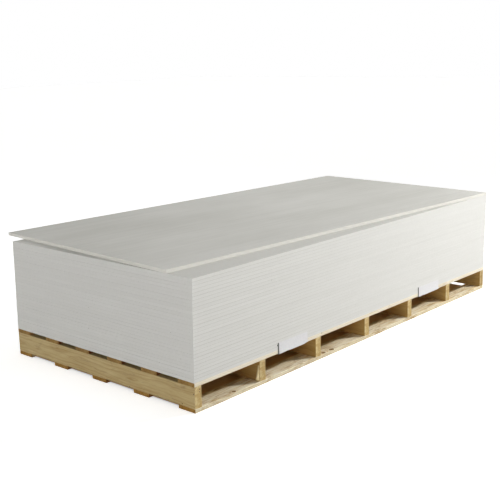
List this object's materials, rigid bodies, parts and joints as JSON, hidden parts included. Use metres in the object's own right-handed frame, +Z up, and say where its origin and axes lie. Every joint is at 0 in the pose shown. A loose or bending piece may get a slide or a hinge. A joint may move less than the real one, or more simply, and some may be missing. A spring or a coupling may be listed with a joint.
{
  "type": "calcium silicate board stack on pallet",
  "caption": "Pale calcium silicate building boards stacked flat on a double-deck wooden stringer pallet, the top board turned askew over the stack.",
  "frame": {"origin": "middle of the pallet's footprint, on the underside of its middle bottom deck board", "axes": "+X along the boards' length, +Y across their width, +Z up through the stack"},
  "size_m": [2.5188, 1.3667, 0.58],
  "materials": {
    "calcium_silicate": "matte",
    "deck_wood": "matte",
    "stringer_wood": "matte",
    "card": "matte"
  },
  "bodies": {
    "root": {"board_01": "calcium_silicate", "board_02": "calcium_silicate", "board_03": "calcium_silicate", "board_04": "calcium_silicate", "board_05": "calcium_silicate", "board_06": "calcium_silicate", "board_07": "calcium_silicate", "board_08": "calcium_silicate", "board_09": "calcium_silicate", "board_10": "calcium_silicate", "board_11": "calcium_silicate", "board_12": "calcium_silicate", "board_13": "calcium_silicate", "board_14": "calcium_silicate", "board_15": "calcium_silicate", "board_16": "calcium_silicate", "board_17": "calcium_silicate", "board_18": "calcium_silicate", "board_19": "calcium_silicate", "board_20": "calcium_silicate", "board_21": "calcium_silicate", "board_22": "calcium_silicate", "board_23": "calcium_silicate", "board_24": "calcium_silicate", "board_25": "calcium_silicate", "board_26": "calcium_silicate", "board_27": "calcium_silicate", "board_28": "calcium_silicate", "board_29": "calcium_silicate", "top_board": "calcium_silicate", "top_deck_board_1": "deck_wood", "top_deck_board_2": "deck_wood", "top_deck_board_3": "deck_wood", "top_deck_board_4": "deck_wood", "top_deck_board_5": "deck_wood", "top_deck_board_6": "deck_wood", "bottom_deck_board_1": "deck_wood", "bottom_deck_board_2": "deck_wood", "bottom_deck_board_3": "deck_wood", "bottom_deck_board_4": "deck_wood", "bottom_deck_board_5": "deck_wood", "stringer_1": "stringer_wood", "stringer_2": "stringer_wood", "stringer_3": "stringer_wood", "stringer_4": "stringer_wood", "stringer_5": "stringer_wood", "stringer_6": "stringer_wood", "stringer_7": "stringer_wood", "blank_card_left": "card", "blank_card_right": "card"}
  },
  "joints": []
}
